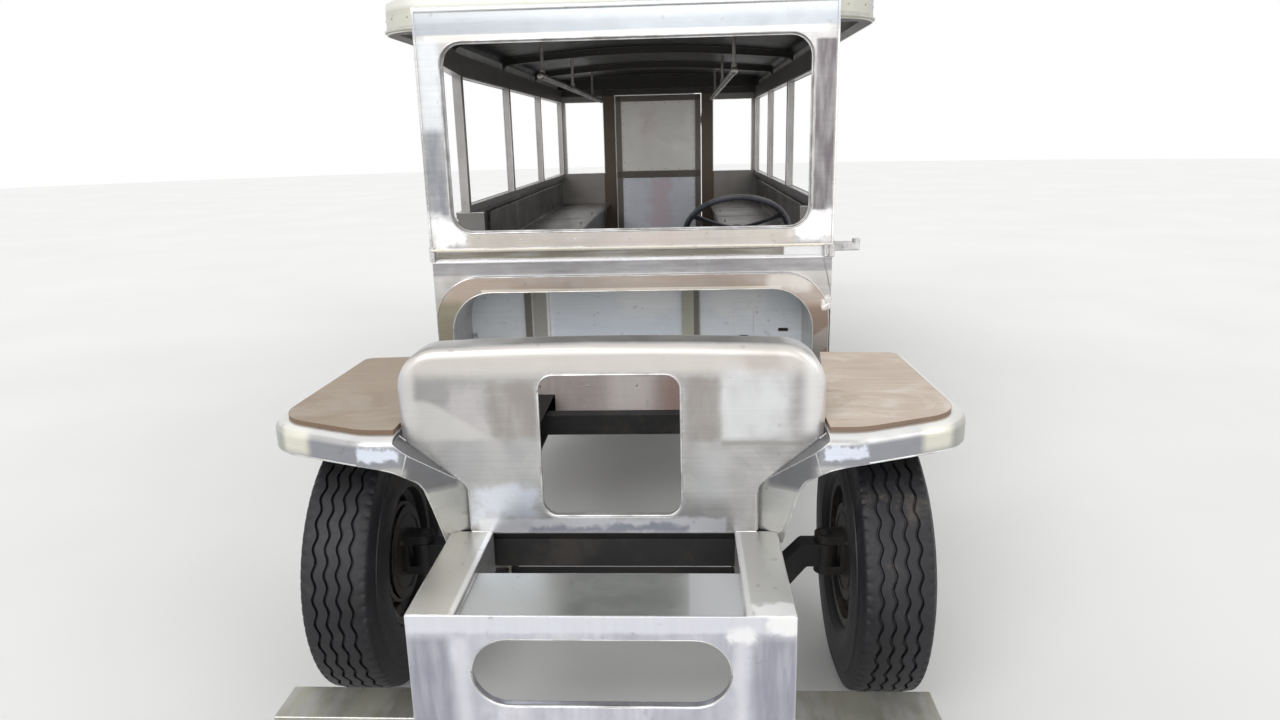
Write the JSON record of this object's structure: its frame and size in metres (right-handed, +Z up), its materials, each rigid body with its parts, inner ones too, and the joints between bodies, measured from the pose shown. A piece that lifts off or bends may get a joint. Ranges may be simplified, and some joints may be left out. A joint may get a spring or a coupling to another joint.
{
  "type": "jeepney",
  "caption": "Open-sided passenger jeepney in bare sheet steel, with no bonnet, grille, lamps or glass, steered front wheels and a hinged rear door.",
  "frame": {"origin": "on the ground under the middle of the overall length and width", "axes": "+Z up, -Y to the front, +X to the driver's side"},
  "size_m": [1.9174, 6.03, 2.1517],
  "materials": {
    "bare_steel": "bare sheet steel, cloudy and ground at the welds",
    "rail_steel": "bare tube",
    "seat_steel": "dark primer, satin",
    "chassis_paint": "black chassis paint, oily",
    "dark_paint": "black paint",
    "wheel_plastic": "dark moulded rim",
    "rim_paint": "dusty black wheel paint",
    "tyre_rubber": "ribbed tyre, slightly blue sheen",
    "tan_board": "dusty tan board with a brown edge"
  },
  "bodies": {
    "body": {"chassis_frame": "chassis_paint", "leaf_springs": "chassis_paint", "front_axle": "chassis_paint", "rear_axle": "chassis_paint", "fuel_tank": "chassis_paint", "front_bumper": "bare_steel", "bumper_deck": "bare_steel", "nose_shell": "bare_steel", "cowl": "bare_steel", "firewall": "bare_steel", "windscreen_frame": "bare_steel", "roof": "bare_steel", "rear_wall": "bare_steel", "floor": "bare_steel", "front_seats": "seat_steel", "dashboard": "bare_steel", "steering_column": "dark_paint", "rear_step": "bare_steel", "fender_boards": "tan_board", "wheel_boxes": "bare_steel", "benches": "bare_steel", "hand_rails": "rail_steel", "side_steps": "bare_steel", "left_fender": "bare_steel", "left_side": "bare_steel", "left_window_frame": "bare_steel", "right_fender": "bare_steel", "right_side": "bare_steel", "right_window_frame": "bare_steel"},
    "left_steer": {"left_knuckle": "chassis_paint"},
    "right_steer": {"right_knuckle": "chassis_paint"},
    "track_rod": {"tie_rod": "chassis_paint"},
    "hand_wheel": {"steering_wheel": "wheel_plastic"},
    "tail_door": {"rear_door": "bare_steel"},
    "front_left_wheel": {"front_left_rim": "rim_paint", "front_left_tyre": "tyre_rubber"},
    "front_right_wheel": {"front_right_rim": "rim_paint", "front_right_tyre": "tyre_rubber"},
    "rear_left_wheel": {"rear_left_rim": "rim_paint", "rear_left_tyre": "tyre_rubber"},
    "rear_right_wheel": {"rear_right_rim": "rim_paint", "rear_right_tyre": "tyre_rubber"}
  },
  "joints": [
    {"name": "hand_wheel_turn", "type": "hinge", "parent": "body", "child": "hand_wheel", "pos_m": [0.42, -1.04, 1.235], "axis": [0, 0.7071, 0.7071], "range_deg": [-540, 540]},
    {"name": "left_steer_turn", "type": "hinge", "parent": "body", "child": "left_steer", "pos_m": [0.615, -2.29, 0.4], "axis": [0, 0, 1], "range_deg": [-28.01, 28.01]},
    {"name": "right_steer_turn", "type": "hinge", "parent": "body", "child": "right_steer", "pos_m": [-0.615, -2.29, 0.4], "axis": [0, 0, 1], "range_deg": [-28.01, 28.01]},
    {"name": "track_rod_slide", "type": "slide", "parent": "body", "child": "track_rod", "axis": [1, 0, 0], "range_m": [-0.0735, 0.0735]},
    {"name": "tail_door_swing", "type": "hinge", "parent": "body", "child": "tail_door", "pos_m": [0.366, 2.822, 1.325], "axis": [0, 0, -1], "range_deg": [0, 110]},
    {"name": "front_left_spin", "type": "hinge", "parent": "left_steer", "child": "front_left_wheel", "pos_m": [0.745, -2.29, 0.4], "axis": [1, 0, 0], "continuous": true},
    {"name": "front_right_spin", "type": "hinge", "parent": "right_steer", "child": "front_right_wheel", "pos_m": [-0.745, -2.29, 0.4], "axis": [1, 0, 0], "continuous": true},
    {"name": "rear_left_spin", "type": "hinge", "parent": "body", "child": "rear_left_wheel", "pos_m": [0.71, 1.41, 0.4], "axis": [1, 0, 0], "continuous": true},
    {"name": "rear_right_spin", "type": "hinge", "parent": "body", "child": "rear_right_wheel", "pos_m": [-0.71, 1.41, 0.4], "axis": [1, 0, 0], "continuous": true}
  ],
  "couplings": [
    {"joint": "left_steer_turn", "follows": "hand_wheel_turn", "ratio": 0.051852},
    {"joint": "right_steer_turn", "follows": "hand_wheel_turn", "ratio": 0.051852},
    {"joint": "track_rod_slide", "follows": "hand_wheel_turn", "m_per_rad": -0.0077778}
  ]
}
